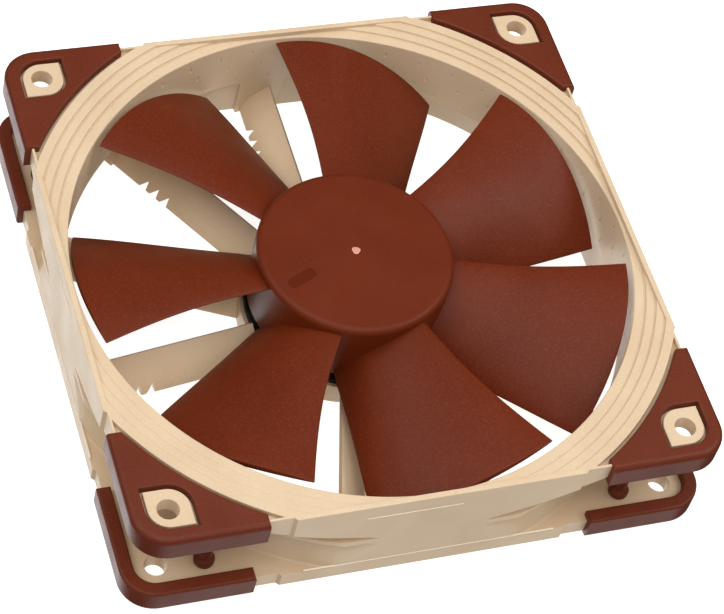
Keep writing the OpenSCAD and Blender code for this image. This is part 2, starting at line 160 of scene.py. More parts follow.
def rimmed(name, outline_at, low, high, low_r=0.0, high_r=0.0):
    """A prism whose rims are rounded. outline_at(d) is the outline moved in by d.
    A negative radius flares the rim outwards instead, for a tool that leaves a rounded edge."""
    levels = []
    for end, r, up in ((low, low_r, 1), (high, high_r, -1)):
        rows = []
        for k in range(ROUND_STEPS + 1):
            a = pi / 2 * k / ROUND_STEPS
            size = abs(r)
            inset = size * (1 - cos(a)) * (1 if r >= 0 else -1)
            rows.append((inset, end + up * size * (1 - sin(a))))
        if r == 0:
            rows = [(0, end)]
        levels.append(rows)
    rows = levels[0][::-1] + levels[1]
    if low_r < 0:
        rows.insert(0, (rows[0][0], low - 1))
    if high_r < 0:
        rows.append((rows[-1][0], high + 1))
    return loft(name, [[(x, y, z) for x, y in outline_at(d)] for d, z in rows])


def square_at(half, corner):
    """Outline of a rounded square, as a function of how far it is moved in."""
    def outline(d):
        r = max(corner - d, 0.2)
        c = half - d - r
        out = []
        for turn, sx, sy in ((0, 1, 1), (90, -1, 1), (180, -1, -1), (270, 1, -1)):
            out += arc(sx * c, sy * c, r, turn, turn + 90)
        return out
    return outline


def leaf_at(half, x, y):
    """Outline of a square with its corners on the rising diagonal rounded, as a function of its inset."""
    def outline(d):
        h = half - d
        return (arc(x, y, h, 0, 90) + [(x - h, y + h)] + arc(x, y, h, 180, 270) + [(x + h, y - h)])
    return outline


def apply_modifiers(obj):
    """Swaps an object's mesh for what its modifiers make of it."""
    bpy.context.view_layer.update()
    deps = bpy.context.evaluated_depsgraph_get()
    mesh = bpy.data.meshes.new_from_object(obj.evaluated_get(deps))
    obj.modifiers.clear()
    obj.data = mesh


def combine(obj, tool, how):
    """obj becomes its union, difference or intersection with tool, and tool is used up."""
    step = obj.modifiers.new("combine", "BOOLEAN")
    step.operation = how
    step.solver = "MANIFOLD"
    step.object = tool
    apply_modifiers(obj)
    bpy.data.objects.remove(tool)
    return obj


def add(obj, *tools):
    for tool in tools:
        combine(obj, tool, "UNION")
    return obj


def cut(obj, *tools):
    for tool in tools:
        combine(obj, tool, "DIFFERENCE")
    return obj


def keep_inside(obj, tool):
    return combine(obj, tool, "INTERSECT")


def gather(name, objs):
    """Several separate solids as one object."""
    bm = bmesh.new()
    for o in objs:
        o.data.transform(o.matrix_world)
        bm.from_mesh(o.data)
        bpy.data.objects.remove(o)
    mesh = bpy.data.meshes.new(name)
    bm.to_mesh(mesh)
    bm.free()
    obj = bpy.data.objects.new(name, mesh)
    bpy.context.scene.collection.objects.link(obj)
    return obj


def turned(obj, angle):
    """The same object, turned about Z by an angle in degrees."""
    obj.data.transform(Matrix.Rotation(radians(angle), 4, "Z"))
    return obj


def copy_turned(obj, angle):
    twin = bpy.data.objects.new(obj.name, obj.data.copy())
    bpy.context.scene.collection.objects.link(twin)
    return turned(twin, angle)


def flipped(obj):
    """Mirrors a piece from one face of the fan to the other."""
    obj.data.transform(Matrix.Translation((0, 0, DEPTH * MM)) @ Matrix.Scale(-1, 4, (0, 0, 1)))
    obj.data.flip_normals()
    return obj


def finish_mesh(obj, angle=28):
    """Smooth shading with crisp edges, after thin slivers are dissolved."""
    bm = bmesh.new()
    bm.from_mesh(obj.data)
    bmesh.ops.remove_doubles(bm, verts=bm.verts, dist=2e-6)
    bmesh.ops.dissolve_degenerate(bm, edges=bm.edges, dist=1e-6)
    bm.to_mesh(obj.data)
    bm.free()
    mesh = obj.data
    mesh.polygons.foreach_set("use_smooth", [True] * len(mesh.polygons))
    mesh.set_sharp_from_angle(angle=radians(angle))
    step = obj.modifiers.new("normals", "WEIGHTED_NORMAL")
    step.mode = "FACE_AREA"
    step.weight = 100
    step.keep_sharp = True
    apply_modifiers(obj)
    return obj


# ---------------------------------------------------------------- frame moulding

def plan_at(d):
    """Outline of the frame seen from above, moved in by d: rounded corners and a prouder middle."""
    step = 0.6
    mid, end = SIDE_MID - d, SIDE_CORNER - d
    c = SIDE_CORNER - CORNER_R
    out = []
    for q in range(4):
        side = arc(c, c, CORNER_R - d, 0, 90)
        side += [(SIDE_MID_HALF + step, end), (SIDE_MID_HALF, mid),
                 (-SIDE_MID_HALF, mid), (-SIDE_MID_HALF - step, end)]
        a = radians(90 * q)
        out += [(x * cos(a) - y * sin(a), x * sin(a) + y * cos(a)) for x, y in side]
    return out


FLARE_IN_R = 68.45              # outside of the duct under the inlet flange
DUCT_OUT_R = 60.2               # and round its waist, between the two heights
FLARE_IN_Z = 13.0
FLARE_OUT_Z = 10.3              # the outlet flare opens below this
FLARE_OUT_R = 62.1
FAR = 95.0                      # past the frame's corners


def outer_profile():
    """The outside of the duct from the upper flange down to the lower one."""
    return [(FAR, FRAME_TOP - FLANGE_T, 0), (FLARE_IN_R, FRAME_TOP - FLANGE_T, 0.4),
            (DUCT_OUT_R, FLARE_IN_Z, 2.2), (DUCT_OUT_R, FLARE_OUT_Z, 2.2),
            (DUCT_OUT_R + 2, FRAME_LOW + FLANGE_T, 0.5), (FAR, FRAME_LOW + FLANGE_T, 0)]


def duct_ring():
    """Duct, stepped inlet ring, outlet flare and both flanges, out to a far radius."""
    steps, pitch, rise = 4, 2.05, 0.4
    groove_w, groove_flat, groove_deep = 0.55, 0.2, 0.16
    first_r = DUCT_R + 2.4
    points = [(FLARE_OUT_R, FRAME_LOW, 0.25), (DUCT_R, FLARE_OUT_Z, 0.4)]
    r = DUCT_R
    for k in range(steps):
        z = FRAME_TOP - (steps - 1 - k) * rise
        points += [(r, z, 0.35 if k == 0 else 0.25)]
        if k < steps - 1:
            foot = first_r + k * pitch
            points += [(foot - groove_w, z, 0.2), (foot - groove_flat, z - groove_deep, 0.05),
                       (foot, z - groove_deep, 0.02)]
        else:
            points += [(RING_R, z, 0.2)]
        r = first_r + k * pitch
    points += [(RING_R, FRAME_TOP - RECESS, 0.15), (FAR, FRAME_TOP - RECESS, 0)]
    points += outer_profile()
    points += [(FAR, FRAME_LOW + RECESS, 0), (RING_R, FRAME_LOW + RECESS, 0.15), (RING_R, FRAME_LOW, 0.2)]
    return revolve("duct", fillet(points, 3))


def side_walls():
    """Thin straight walls along the four sides, trimmed to the outside of the duct."""
    inside, edge_r = DUCT_R - 6, 0.15
    points = [(inside, FRAME_LOW, 0), (inside, FRAME_TOP, 0), (FAR, FRAME_TOP, 0)]
    points += outer_profile() + [(FAR, FRAME_LOW, 0)]
    walls = []
    for q in range(4):
        wall = rimmed("wall", lambda d: [(-WALL_HALF, WALL_IN + d), (WALL_HALF, WALL_IN + d),
                                         (WALL_HALF, SIDE_MID + 1), (-WALL_HALF, SIDE_MID + 1)],
                      FRAME_LOW, FRAME_TOP, edge_r, edge_r)
        walls.append(turned(wall, 90 * q))
    return keep_inside(gather("walls", walls), revolve("wall_bound", fillet(points, 3)))


def rib_ring():
    """A rib round the waist of the duct. It shows in the corners and as a crest at each recess."""
    r, low, high = 62.0, 11.3, 12.4
    points = [(DUCT_R + 1, low, 0), (r, low, 0.35), (r, high, 0.35), (DUCT_R + 1, high, 0)]
    return revolve("rib", fillet(points, 4))


def pedestals():
    """Leaf-shaped seats round the screw holes, which show in the windows of the pads."""
    edge_r = 0.2
    out = []
    for q in range(4):
        leaf = leaf_at(LEAF_HALF, LEAF_XY, LEAF_XY)
        top = rimmed("pedestal", leaf, FRAME_TOP - FLANGE_T, FRAME_TOP, 0, edge_r)
        low = rimmed("pedestal", leaf, FRAME_LOW, FRAME_LOW + FLANGE_T, edge_r, 0)
        out += [turned(top, 90 * q), turned(low, 90 * q)]
    return gather("pedestals", out)


def hole_tool(x, y, r, low, high, rim=0.2):
    """A round cutter along Z that leaves rounded rims at both ends."""
    sides = 48

    def outline(d):
        return arc(x, y, r - d, 0, 360 - 360 / sides, sides - 1)
    return rimmed("hole", outline, low, high, -rim, -rim)


def screw_and_peg_holes():
    """Screw holes and the smaller holes for the pads' pegs, in both flanges."""
    peg_hole_r, peg_rim = 1.5, 0.1
    tools = []
    for q in range(4):
        for low, high in ((FRAME_LOW, FRAME_LOW + FLANGE_T), (FRAME_TOP - FLANGE_T, FRAME_TOP)):
            tools.append(turned(hole_tool(HOLE_XY, HOLE_XY, HOLE_R, low, high), 90 * q))
        for x, y in PEGS:
            low, high = FRAME_LOW + RECESS, FRAME_LOW + FLANGE_T
            tools.append(turned(hole_tool(x, y, peg_hole_r, low, high, peg_rim), 90 * q))
            low, high = FRAME_TOP - FLANGE_T, FRAME_TOP - RECESS
            tools.append(turned(hole_tool(x, y, peg_hole_r, low, high, peg_rim), 90 * q))
    return tools


VANES = 11
VANE_FIRST = 89.4               # angle of the first vane
VANE_TOP, VANE_LOW = 7.3, 1.1
VANE_SHIFT = 5.6                # how far a vane leans sideways from top to bottom
VANE_T = 1.3
VANE_IN_R, BASE_IN_R = 19.6, 20.4   # a vane starts inside the motor base's rim and is trimmed in it
VANE_EDGE_R = 0.32
VANE_ROOT_R = 58.9              # the thicker foot starts here
VANE_ROOT_EXTRA = 1.0
VANE_ROOT_DROP = 0.45
TEETH = 3
NOTCH_FIRST_R, NOTCH_PITCH, NOTCH_W, NOTCH_H = 43.2, 2.95, 2.1, 2.1


def vane_outline(thick):
    """Curved section across a vane: nearly upright at the outlet and leaning over at the top.
    Returns its two sides, one going down and the other coming back up."""
    def centre(s):
        return VANE_SHIFT * (1 - (1 - s) ** 1.5), VANE_TOP + (VANE_LOW - VANE_TOP) * s
    left, right = [], []
    count = 16
    for k in range(count + 1):
        s = k / count
        x, z = centre(s)
        x0, z0 = centre(max(s - 0.01, 0))
        x1, z1 = centre(min(s + 0.01, 1))
        length = hypot(x1 - x0, z1 - z0)
        nx, nz = -(z1 - z0) / length, (x1 - x0) / length
        half = thick / 2 * (0.92 + 0.16 * s)
        left.append((x - nx * half, z - nz * half))
        right.append((x + nx * half, z + nz * half))
    return left, right[::-1]


def vane_bar(name, thick, start, drop):
    """Vane section swept outwards from radius start, with its outlet edge lowered by drop."""
    left, right = vane_outline(thick)
    points = [(x, z - (drop if z < VANE_LOW + 0.6 else 0), 0) for x, z in left + right]
    for k in (0, len(left) - 1, len(left), len(points) - 1):
        points[k] = (*points[k][:2], VANE_EDGE_R)
    outline = fillet(points)
    return loft(name, [[(r, y, z) for y, z in outline] for r in (start, DUCT_R + 7)])


def vane():
    """One guide vane along X, with saw teeth in its outlet edge and a thicker foot in the flare."""
    body = vane_bar("vane", VANE_T, VANE_IN_R, 0)
    below, across = 1.2, (1.2, VANE_SHIFT + 3)
    notches = []
    for k in range(TEETH):
        x, z = NOTCH_FIRST_R + NOTCH_PITCH * k, VANE_LOW
        v = fillet([(x - 0.45, z - below, 0), (x + NOTCH_W + 0.75, z - below, 0), (x + NOTCH_W, z, 0.35),
                    (x + 0.42, z + NOTCH_H, 0.12), (x + 0.25, z + NOTCH_H, 0.12), (x, z, 0.3)], 3)
        notches.append(loft("notch", [[(px, y, pz) for px, pz in v] for y in across]))
    cut(body, gather("notches", notches))
    return add(body, vane_bar("vane_root", VANE_T + VANE_ROOT_EXTRA, VANE_ROOT_R, VANE_ROOT_DROP))


def guide_vanes():
    """All the vanes, trimmed to the outlet flare and to the frame's outline."""
    into_wall, inset = 0.8, 0.4
    first = vane()
    vanes = [copy_turned(first, VANE_FIRST + 360 / VANES * k) for k in range(VANES)]
    bpy.data.objects.remove(first)
    bound = revolve("vane_bound", [(BASE_IN_R, 0), (FLARE_OUT_R + into_wall, 0),
                                   (FLARE_OUT_R + into_wall, FRAME_LOW),
                                   (DUCT_R + into_wall, FLARE_OUT_Z), (BASE_IN_R, FLARE_OUT_Z)])
    vanes = keep_inside(gather("vanes", vanes), bound)
    return keep_inside(vanes, prism("plan", plan_at(inset), -1, DEPTH))


def dimples():
    """Small tear-shaped dents in the duct wall, in three rows that step round by about a third of a pitch."""
    columns, tall, wide, deep, thinnest = 49, 1.9, 0.36, 0.18, 0.01
    levels, around, fullest, stagger = 8, 10, 0.22, 2.4
    tools = []
    for row, z0 in enumerate((20.2, 16.3, 12.4)):
        for k in range(columns):
            rings = []
            for j in range(levels + 1):
                t = j / levels
                z = z0 - tall / 2 + tall * t
                grow = min(t / fullest, 1) ** 0.6 * (1 - max(t - fullest, 0) / (1 - fullest)) ** 0.9
                w, d = max(wide * grow, thinnest), max(deep * grow, thinnest)
                ring = []
                for a in range(around):
                    turn = 2 * pi * a / around
                    ring.append((DUCT_R + d * cos(turn), w * sin(turn), z))
                rings.append(ring)
            tools.append(turned(loft("dimple", rings), 360 / columns * k - stagger * row))
    return gather("dimples", tools)


CABLE_BLOCK_FROM, CABLE_BLOCK_TURN = 87.9, 8.7
CABLE_ANGLE, CABLE_CUP_ANGLE = 91.5, 95.0


def cable_outlet():
    """Part of the flare filled flush with the duct wall, where the cable leaves the frame."""
    profile = [(DUCT_R, FRAME_LOW), (FLARE_OUT_R, FRAME_LOW),
               (DUCT_R + 1, FLARE_OUT_Z), (DUCT_R, FLARE_OUT_Z)]
    steps, lean = 9, 1.2
    rings = []
    for k in range(steps + 1):
        t = k / steps
        slant = lean * (1 - t)
        ring = []
        for r, z in profile:
            up = slant * (z - FRAME_LOW) / (FLARE_OUT_Z - FRAME_LOW)
            a = radians(CABLE_BLOCK_FROM + CABLE_BLOCK_TURN * t - up)
            ring.append((r * cos(a), r * sin(a), z))
        rings.append(ring)
    body = loft("cable_block", rings)
    return keep_inside(body, box_solid("cable_bound", (-FAR, -FAR, 0), (FAR, WALL_IN + 0.5, DEPTH)))


def cable_slots():
    """The cord's way out: a slot in the frame's edge and a window in the rim of the motor base."""
    half, top_r = 1.8, 0.6
    tools = []
    for low, high, low_r, reach, angle in ((-1, 3.6, 0, (45.5, 69.5), CABLE_ANGLE),
                                           (1.9, 4.6, 0.3, (17.5, 22.5), CABLE_CUP_ANGLE)):
        section = fillet([(-half, low, low_r), (half, low, low_r), (half, high, top_r), (-half, high, top_r)])
        tools.append(turned(loft("slot", [[(x, y, z) for y, z in section] for x in reach]), angle))
    return tools


def motor_base():
    """The cup that holds the board, with the bearing socket in its middle and the label's recess below."""
    points = [(4.2, 0.85, 0), (16.5, 0.85, 0.05), (16.5, 0.6, 0.1), (21.2, 0.6, 0.35), (21.2, 6.0, 0.25),
              (20.3, 6.0, 0.12), (20.3, 5.2, 0), (19.3, 5.2, 0.1), (19.3, 1.9, 0.2), (5.4, 1.9, 0.2),
              (5.4, 8.6, 0.2), (4.2, 8.6, 0.1)]
    return revolve("base", fillet(points, 3))


def build_mould_lines():
    """Thin beads where the mould's sliders met, on the flat sides. Their pale colour is a painted glint."""
    half, proud, sunk = 0.13, 0.12, 0.2
    tools = []
    for q in range(4):
        for z, x0, x1 in ((20.6, -4.5, 15), (4.7, -27, 25)):
            bead = [(SIDE_MID - sunk, z - half), (SIDE_MID, z - half), (SIDE_MID + proud, z),
                    (SIDE_MID, z + half), (SIDE_MID - sunk, z + half)]
            tools.append(turned(loft("line", [[(x, y, h) for y, h in bead] for x in (x0, x1)]), 90 * q))
    lines = gather("lines", tools)
    lines.name = "mould_lines"
    return finish_mesh(lines, angle=60)


def build_frame():
    """The whole moulding: duct, flanges, walls, vanes, motor base, holes and slots."""
    body = add(duct_ring(), side_walls(), rib_ring())
    keep_inside(body, rimmed("plan", plan_at, FRAME_LOW, FRAME_TOP, 0.2, 0.2))
    add(body, pedestals(), guide_vanes(), cable_outlet(), motor_base())
    keep_inside(body, box_solid("bound", (-SIDE_MID, -SIDE_MID, 0), (SIDE_MID, SIDE_MID, DEPTH)))
    cut(body, gather("holes", screw_and_peg_holes()), dimples(), *cable_slots())
    body.name = "frame_moulding"
    return finish_mesh(body)


# ---------------------------------------------------------------- corner pads

def pad_peg():
    """Pull-through peg: neck, bulge that locks behind the flange, and a round-ended tail."""
    points = [(0, 1.4), (1.45, 1.4), (1.45, 4.25), (1.8, 4.25)] + arc(1.7, 4.6, 0.35, -60, 0, 3)
    points += arc(1.45, 5.4, 0.6, 0, 60, 4) + [(1.3, 6.45)] + arc(0.75, 9.05, 0.55, 0, 90, 5) + [(0, 9.6)]
    return revolve("peg", points, 40)


def build_pad(name):
    """A pad of the outlet face in the +X +Y corner: a rounded slab and skirt with a cavity for the flange."""
    half, corner, leg, skirt, lip_w = SIDE / 2, 7.0, 25.4, 6.0, 2.9
    face_r, skirt_r, end_r, lip_r, window_r = 1.35, 0.6, 0.55, 0.45, 0.4
    window_half, ring_gap, gap, beyond = 4.7, 0.7, 0.05, 80
    flange_low, flange_top = FRAME_LOW + RECESS - gap, FRAME_LOW + FLANGE_T + gap
    body = rimmed(name, square_at(half, corner), 0, skirt, face_r, skirt_r)
    start = half - leg

    def corner_at(d):
        return fillet([(start + d, start + d, 0), (beyond, start + d, 0), (beyond, beyond, 0),
                       (start + d, beyond, 0)])

    keep_inside(body, rimmed("corner", corner_at, 0, skirt, end_r, end_r))
    inner = rimmed("inner", lambda d: arc(0, 0, RING_R + ring_gap - d, 0, 358, 179), 0, 12.0, -lip_r, 0)
    lip = rimmed("lip", square_at(half - lip_w, corner - lip_w), flange_low + 0.5, skirt, 0, -lip_r)
    cavity = rimmed("cavity", square_at(SIDE_CORNER + gap, CORNER_R), flange_low, flange_top)
    window = rimmed("window", leaf_at(window_half, LEAF_XY, LEAF_XY), 0, 3.0, -window_r, 0)
    cut(body, inner, lip, cavity, window)
    for x, y in PEGS:
        peg = pad_peg()
        peg.data.transform(Matrix.Translation((x * MM, y * MM, 0)))
        add(body, peg)
    return body


def flare_room():
    """What an intake pad leaves free for the flare under the inlet ring."""
    gap, top = 0.1, FRAME_TOP - FLANGE_T
    return revolve("flare_room", [(0, FLARE_IN_Z), (DUCT_OUT_R + gap, FLARE_IN_Z), (FLARE_IN_R + gap, top),
                                  (0, top)])


def build_pads():
    """The eight pads, each with the CAD node that it replaces."""
    first = build_pad("pad")
    pads = []
    for k, corner in enumerate(("front_left", "front_right", "rear_right", "rear_left")):
        low = copy_turned(first, 180 + 90 * k)
        low.name = f"outlet_pad_{corner}_moulded"
        top = cut(flipped(copy_turned(first, 180 + 90 * k)), flare_room())
        top.name = f"intake_pad_{corner}_moulded"
        pads += [(finish_mesh(low), f"outlet_pad_{corner}"), (finish_mesh(top), f"intake_pad_{corner}")]
    bpy.data.objects.remove(first)
    return pads


# ---------------------------------------------------------------- impeller

BLADES = 7
BLADE_T = 1.8
BLADE_PHASE = 90.9
BLADE_ROOT_R = HUB_R - 0.5
BLADE_SPAN_DEG = 36.9           # how far a blade reaches round the hub at its tip
LEAD_SWEEP, LEAD_ROOT_CURL = 4.0, 4.8
TRAIL_SWEEP, TRAIL_ROOT_CURL = 5.4, 7.1
LEAD_Z, LEAD_RISE = 21.6, 1.6   # height of the leading edge at the root, and its rise to the tip
TRAIL_Z, TRAIL_RISE, TRAIL_BOW = 9.6, 0.3, 1.6
CAMBER, CAMBER_RISE = 2.4, 1.2
HUB_WALL, HUB_CAP_T = 0.95, 1.6
HUB_LOW = 9.0


def lead_angle(s):
    """Angle of the leading edge in degrees, at span s from 0 at the root to 1 at the tip."""
    return -LEAD_SWEEP * (1 - s) + LEAD_ROOT_CURL * (1 - s) ** 4


def trail_angle(s):
    return -BLADE_SPAN_DEG - TRAIL_SWEEP * (1 - s) - TRAIL_ROOT_CURL * (1 - s) ** 4


def blade_surface(s, c):
    """Radius, angle, height, lean and half thickness at span s and chord c."""
    r = BLADE_ROOT_R + (TIP_R - BLADE_ROOT_R) * s
    lead, trail = LEAD_Z + LEAD_RISE * s, TRAIL_Z + TRAIL_RISE * s + TRAIL_BOW * s * (1 - s)
    camber = CAMBER + CAMBER_RISE * s
    angle = trail_angle(s) + (lead_angle(s) - trail_angle(s)) * c
    z = trail + (lead - trail) * c + 4 * camber * c * (1 - c)
    slope = (lead - trail + 4 * camber * (1 - 2 * c)) / (radians(lead_angle(s) - trail_angle(s)) * r)
    half = BLADE_T / 2 * (1.1 - 0.15 * s) * (0.16 + 0.84 * (4 * c * (1 - c)) ** 0.6)
    return r, radians(angle), z, atan(slope), half


def blade():
    """One blade with rounded leading, trailing and tip edges."""
    spans, chords, caps = 30, 36, 5
    tip_round, tip_shrink, blade_length = 0.3, 0.55, 36
    tip_turns = (0, 30, 60, 90)
    rings = []
    stations = [s / spans for s in range(spans)]
    stations += [1 - tip_round / blade_length * (1 - sin(radians(a))) for a in tip_turns]
    for i, s in enumerate(stations):
        shrink = 1.0
        if i >= spans:
            shrink = 1 - tip_shrink * (1 - cos(radians(tip_turns[i - spans])))
        ring = []
        for side in (1, -1):
            for j in range(chords + 1):
                c = j / chords if side > 0 else 1 - j / chords
                c = 0.5 - 0.5 * cos(pi * c)
                r, a, z, lean, half = blade_surface(s, c)
                half *= shrink
                ring.append((r, a - side * half * sin(lean) / r, z + side * half * cos(lean)))
            c = 1.0 if side > 0 else 0.0
            r, a, z, lean, half = blade_surface(s, c)
            half *= shrink
            for k in range(1, caps):
                t = pi * k / caps
                up, out = side * cos(t) * half, side * sin(t) * half
                ring.append((r, a + (out * cos(lean) - up * sin(lean)) / r,
                             z + out * sin(lean) + up * cos(lean)))
        rings.append([(r * cos(a), r * sin(a), z) for r, a, z in ring])
    return loft("blade", rings)


def hub_shell():
    """The cap and skirt of the hub, open below for the rotor's yoke."""
    inner, under = HUB_R - HUB_WALL, HUB_TOP - HUB_CAP_T
    points = [(0, under, 0), (0, HUB_TOP, 0), (HUB_R, HUB_TOP, 1.4), (HUB_R, HUB_LOW, 0.25),
              (inner, HUB_LOW, 0.15), (inner, under, 0)]
    return revolve("impeller_moulding", fillet(points, 8))


SLOT_DEEP = 0.2
SLOT_HALF_LONG, SLOT_HALF_WIDE = 3.45, 1.3
SLOT_AT, SLOT_TILT = (-12.8, -4.95), 25


def slot_outline():
    """A round-ended slot beside the middle of the hub cap."""
    reach = SLOT_HALF_LONG - SLOT_HALF_WIDE
    ends = arc(reach, 0, SLOT_HALF_WIDE, -90, 90, 10) + arc(-reach, 0, SLOT_HALF_WIDE, 90, 270, 10)
    tilt, (cx, cy) = radians(SLOT_TILT), SLOT_AT
    return [(cx + x * cos(tilt) - y * sin(tilt), cy + x * sin(tilt) + y * cos(tilt)) for x, y in ends]


def hub_marks():
    """A shallow slot beside the centre and a thin ring round the gate mark."""
    slot = prism("slot", slot_outline(), HUB_TOP - SLOT_DEEP, HUB_TOP + 1)
    low, above = HUB_TOP - 0.04, HUB_TOP + 1
    return [slot, revolve("gate_ring", [(1.35, low), (1.2, above), (1.75, above), (1.6, low)], 60)]


def build_slot_floor():
    """The floor of the shallow slot, coloured darker than the grained cap."""
    floor_z, sunk, raised = HUB_TOP - SLOT_DEEP, 0.1, 0.14
    return finish_mesh(prism("slot_floor", slot_outline(), floor_z - sunk, floor_z + raised))


def build_impeller():
    """Hub and blades in one moulding. The blades' roots are cut away inside the hub."""
    body = hub_shell()
    first = blade()
    for k in range(BLADES):
        add(body, copy_turned(first, BLADE_PHASE + 360 / BLADES * k))
    bpy.data.objects.remove(first)
    inner, under = HUB_R - HUB_WALL, HUB_TOP - HUB_CAP_T
    cut(body, revolve("hub_room", [(0, 5), (inner, 5), (inner, under), (0, under)]))
    cut(body, *hub_marks())
    return finish_mesh(body)


def build_gate_mark():
    """The torn-off gate of the moulding, a rough pale dot in the middle of the hub."""
    around, uneven, bumpy = 36, 0.08, 0.012
    rings = []
    for j, (r, z) in enumerate(((0.85, -0.03), (0.85, 0.015), (0.72, 0.05), (0.45, 0.06), (0.15, 0.02))):
        ring = []
        for k in range(around):
            a = 2 * pi * k / around
            ragged = r * (1 + uneven * sin(3 * a + j))
            ring.append((ragged * cos(a), ragged * sin(a), HUB_TOP + z + bumpy * sin(5 * a + 2 * j)))
        rings.append(ring)
    return finish_mesh(loft("gate_mark", rings), angle=60)


# ---------------------------------------------------------------- motor windings

def build_coil(number):
    """A winding of side-by-side turns round its tooth."""
    angle = 90 * (number - 1)
    start, end, mid_z = 7.5, 13.2, 13.5
    turns, around, wire_r = 12, 72, 0.16
    half_y, half_z, squareness = 4.1, 5.7, 5
    tooth_half, tooth_low, tooth_top = 2.6, 9.3, 17.7
    rings = []
    steps = turns * 6
    for j in range(steps + 1):
        x = start + (end - start) * j / steps
        swell = wire_r * abs(sin(pi * turns * j / steps)) - wire_r
        ring = []
        for k in range(around):
            a = 2 * pi * k / around
            ca, sa = cos(a), sin(a)
            grow = (abs(ca) ** squareness + abs(sa) ** squareness) ** (-1 / squareness)
            ring.append((x, (half_y + swell) * ca * grow, mid_z + (half_z + swell) * sa * grow))
        rings.append(ring)
    outer = loft(f"coil_{number}_wound", rings)
    cut(outer, box_solid("window", (start - 1, -tooth_half, tooth_low), (end + 1, tooth_half, tooth_top)))
    return finish_mesh(turned(outer, angle), angle=50)


# ---------------------------------------------------------------- materials

def new_material(name):
    """A material with its nodes, links and main shader."""
    mat = bpy.data.materials.new(name)
    mat.use_nodes = True
    nodes, links = mat.node_tree.nodes, mat.node_tree.links
    return mat, nodes, links, nodes["Principled BSDF"]


def noise(nodes, links, scale, detail=4.0, rough=0.5, stretch=(1, 1, 1), distort=0.0):
    """Noise in the object's own space, with scale in features per metre."""
    coord = nodes.new("ShaderNodeTexCoord")
    place = nodes.new("ShaderNodeMapping")
    place.inputs["Scale"].default_value = stretch
    tex = nodes.new("ShaderNodeTexNoise")
    tex.inputs["Scale"].default_value = scale
    tex.inputs["Detail"].default_value = detail
    tex.inputs["Roughness"].default_value = rough
    tex.inputs["Distortion"].default_value = distort
    links.new(coord.outputs["Object"], place.inputs["Vector"])
    links.new(place.outputs["Vector"], tex.inputs["Vector"])
    return tex.outputs["Fac"]


def spread(nodes, links, value, low, high, start=0.0, end=1.0):
    """A value mapped from start..end to low..high."""
    node = nodes.new("ShaderNodeMapRange")
    for key, number in (("From Min", start), ("From Max", end), ("To Min", low), ("To Max", high)):
        node.inputs[key].default_value = number
    links.new(value, node.inputs["Value"])
    return node.outputs["Result"]


def mixed(nodes, links, factor, first, second):
    """A colour between two others, each a colour or another node's output."""
    node = nodes.new("ShaderNodeMix")
    node.data_type = "RGBA"
    links.new(factor, node.inputs["Factor"])
    for key, value in (("A", first), ("B", second)):
        socket = [s for s in node.inputs if s.name == key and s.type == "RGBA"][0]
        if isinstance(value, tuple):
            socket.default_value = (*value, 1.0)
        else:
            links.new(value, socket)
    return [s for s in node.outputs if s.type == "RGBA"][0]


def bump(nodes, links, height, strength, distance, under=None):
    """A normal raised by height, up to distance in metres, on top of another normal."""
    node = nodes.new("ShaderNodeBump")
    node.inputs["Strength"].default_value = strength
    node.inputs["Distance"].default_value = distance
    links.new(height, node.inputs["Height"])
    if under is not None:
        links.new(under, node.inputs["Normal"])
    return node.outputs["Normal"]


def edge_mask(nodes, links):
    """Rises towards one along edges, by how far the surface turns within a third of a millimetre."""
    soft = nodes.new("ShaderNodeBevel")
    soft.samples = 3
    soft.inputs["Radius"].default_value = 0.00035
    geometry = nodes.new("ShaderNodeNewGeometry")
    dot = nodes.new("ShaderNodeVectorMath")
    dot.operation = "DOT_PRODUCT"
    links.new(soft.outputs["Normal"], dot.inputs[0])
    links.new(geometry.outputs["Normal"], dot.inputs[1])
    return spread(nodes, links, dot.outputs["Value"], 1, 0, 0.8, 0.995)


def plastic(name, base, light, dark, rough=(0.36, 0.5), grain=0.25, sheen=0.0, specular=0.5, edge_wear_and_highlight=0.35):
    """Moulded plastic or rubber: slow flow mottling, spark-eroded grain, edges paler as wear and as a painted
    highlight, and uneven gloss.
    """
    mat, nodes, links, shader = new_material(name)
    flow = noise(nodes, links, 55, 3, 0.55, distort=0.6)
    fine = noise(nodes, links, 2600, 2, 0.6)
    coarse = noise(nodes, links, 620, 3, 0.55)
    body = mixed(nodes, links, spread(nodes, links, flow, 0, 1, 0.3, 0.7), base, dark)
    speck = mixed(nodes, links, spread(nodes, links, fine, 0, 0.45, 0.55, 0.8), body, light)
    # edges turn towards the pale colour: wear, and a painted highlight along them
    edge = mixed(nodes, links, spread(nodes, links, edge_mask(nodes, links), 0, edge_wear_and_highlight), speck, light)
    links.new(edge, shader.inputs["Base Color"])
    gloss = noise(nodes, links, 130, 4, 0.6, distort=0.4)
    links.new(spread(nodes, links, gloss, rough[0], rough[1], 0.3, 0.7), shader.inputs["Roughness"])
    shader.inputs["Specular IOR Level"].default_value = specular
    shader.inputs["Sheen Weight"].default_value = sheen
    first = bump(nodes, links, coarse, grain * 0.6, 0.00006)
    links.new(bump(nodes, links, fine, grain, 0.00003, first), shader.inputs["Normal"])
    return mat


def metal(name, base, dark, rough=(0.2, 0.36), stretch=(1, 1, 1), grain=0.25, scale=900):
    """Metal with drawn or turned marks, patches of tarnish and uneven polish."""
    mat, nodes, links, shader = new_material(name)
    lines = noise(nodes, links, scale, 3, 0.6, stretch)
    patch = noise(nodes, links, 120, 4, 0.6, distort=0.8)
    body = mixed(nodes, links, spread(nodes, links, patch, 0, 0.5, 0.35, 0.75), base, dark)
    body = mixed(nodes, links, spread(nodes, links, lines, 0, 0.25, 0.4, 0.7), body, dark)
    links.new(body, shader.inputs["Base Color"])
    links.new(spread(nodes, links, lines, rough[0], rough[1], 0.3, 0.7), shader.inputs["Roughness"])
    shader.inputs["Metallic"].default_value = 1.0
    links.new(bump(nodes, links, lines, grain, 0.00003), shader.inputs["Normal"])
    return mat


